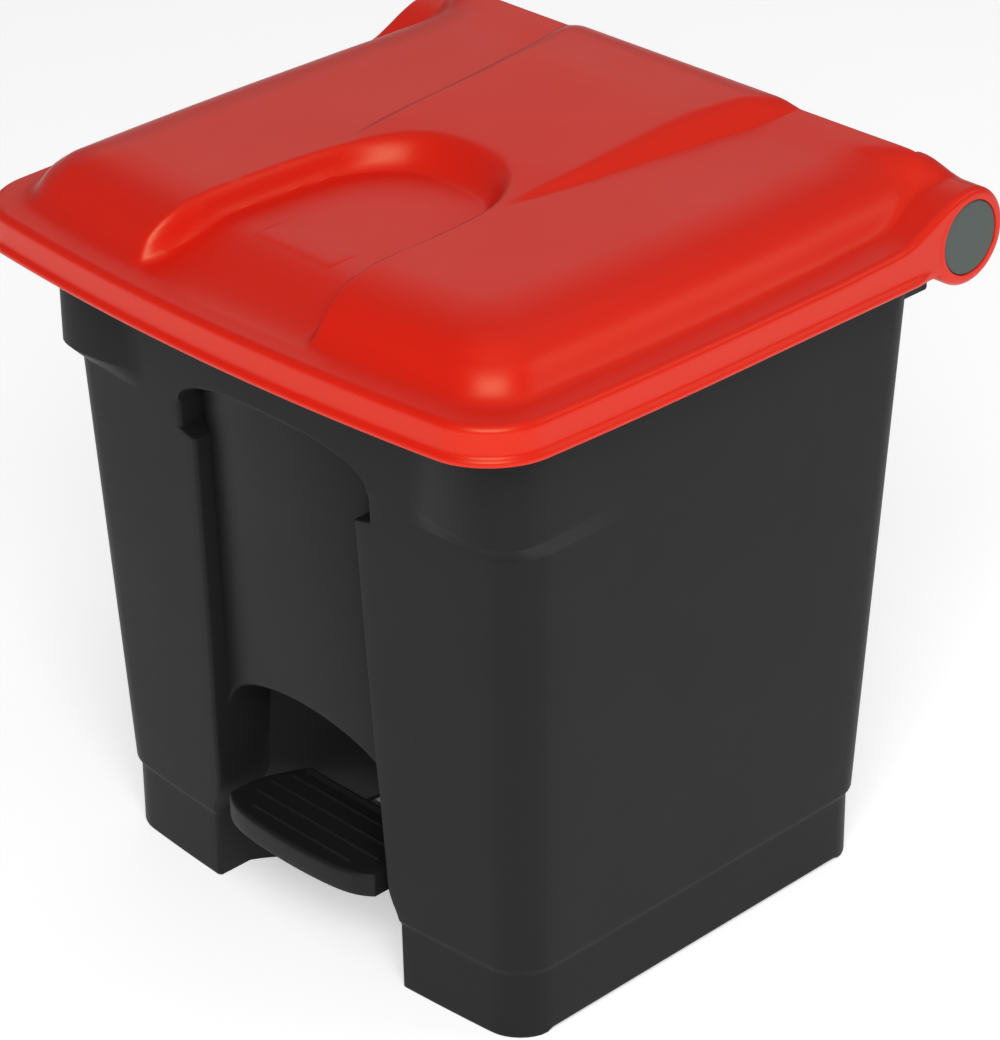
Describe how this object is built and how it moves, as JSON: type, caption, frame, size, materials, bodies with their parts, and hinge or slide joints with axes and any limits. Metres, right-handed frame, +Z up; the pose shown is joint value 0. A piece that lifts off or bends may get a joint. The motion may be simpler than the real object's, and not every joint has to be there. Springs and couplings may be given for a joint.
{
  "type": "pedal bin",
  "caption": "Step-on pedal bin with a tapered charcoal body, a foot niche in the front, and a domed red lid on corner hinges lifted by a rod and lever.",
  "frame": {"origin": "on the floor, under the centre of the closed bin's bounding box", "axes": "+Z up, -Y towards the front with the pedal, +X towards the side on a person's right who faces the front"},
  "size_m": [0.4098, 0.3824, 0.435],
  "materials": {
    "body_plastic": "fine-textured charcoal polypropylene, satin",
    "tread_plastic": "textured black polypropylene with worn ribs",
    "lid_plastic": "signal red polypropylene, semi-gloss",
    "cap_plastic": "mid grey moulded plastic, satin",
    "bush_plastic": "natural acetal, satin",
    "zinc_steel": "bright zinc-plated steel",
    "buffer_rubber": "black rubber"
  },
  "bodies": {
    "bin": {"body_shell": "body_plastic", "hinge_bush_right": "bush_plastic", "hinge_bush_left": "bush_plastic", "rod_cover": "body_plastic", "cover_screw_left_low": "zinc_steel", "cover_screw_left_high": "zinc_steel", "cover_screw_right_low": "zinc_steel", "cover_screw_right_high": "zinc_steel", "rod_guide_lower": "bush_plastic", "rod_guide_upper": "bush_plastic", "pedal_axle": "zinc_steel", "axle_hanger_right": "body_plastic", "axle_hanger_left": "body_plastic", "axle_cap_right": "bush_plastic", "axle_cap_left": "bush_plastic", "hanger_screw_left_front": "zinc_steel", "hanger_screw_left_rear": "zinc_steel", "hanger_screw_right_front": "zinc_steel", "hanger_screw_right_rear": "zinc_steel"},
    "lid": {"lid_shell": "lid_plastic", "hinge_pin_right": "zinc_steel", "hinge_pin_left": "zinc_steel", "hinge_cap_right": "cap_plastic", "hinge_cap_left": "cap_plastic", "lid_crank": "zinc_steel", "crank_screw_left": "zinc_steel", "crank_screw_right": "zinc_steel", "lid_buffer_right": "buffer_rubber", "lid_buffer_left": "buffer_rubber"},
    "pedal": {"pedal_tread": "tread_plastic", "pedal_lever": "zinc_steel", "tread_screw_front": "zinc_steel", "tread_screw_rear": "zinc_steel"},
    "rod": {"push_rod": "zinc_steel", "rod_pin_lower": "zinc_steel", "rod_pin_upper": "zinc_steel"}
  },
  "joints": [
    {"name": "lid_hinge", "type": "hinge", "parent": "bin", "child": "lid", "pos_m": [0, 0.165, 0.3878], "axis": [-1, 0, 0], "range_deg": [0, 75]},
    {"name": "pedal_hinge", "type": "hinge", "parent": "bin", "child": "pedal", "pos_m": [0, -0.02, 0.04], "axis": [1, 0, 0], "range_deg": [0, 12.6]},
    {"name": "push_rod_slide", "type": "slide", "parent": "bin", "child": "rod", "axis": [0, 0, 1], "range_m": [0, 0.036]}
  ],
  "couplings": [
    {"joint": "pedal_hinge", "follows": "lid_hinge", "ratio": 0.16667},
    {"joint": "push_rod_slide", "follows": "lid_hinge", "m_per_rad": 0.027345}
  ]
}
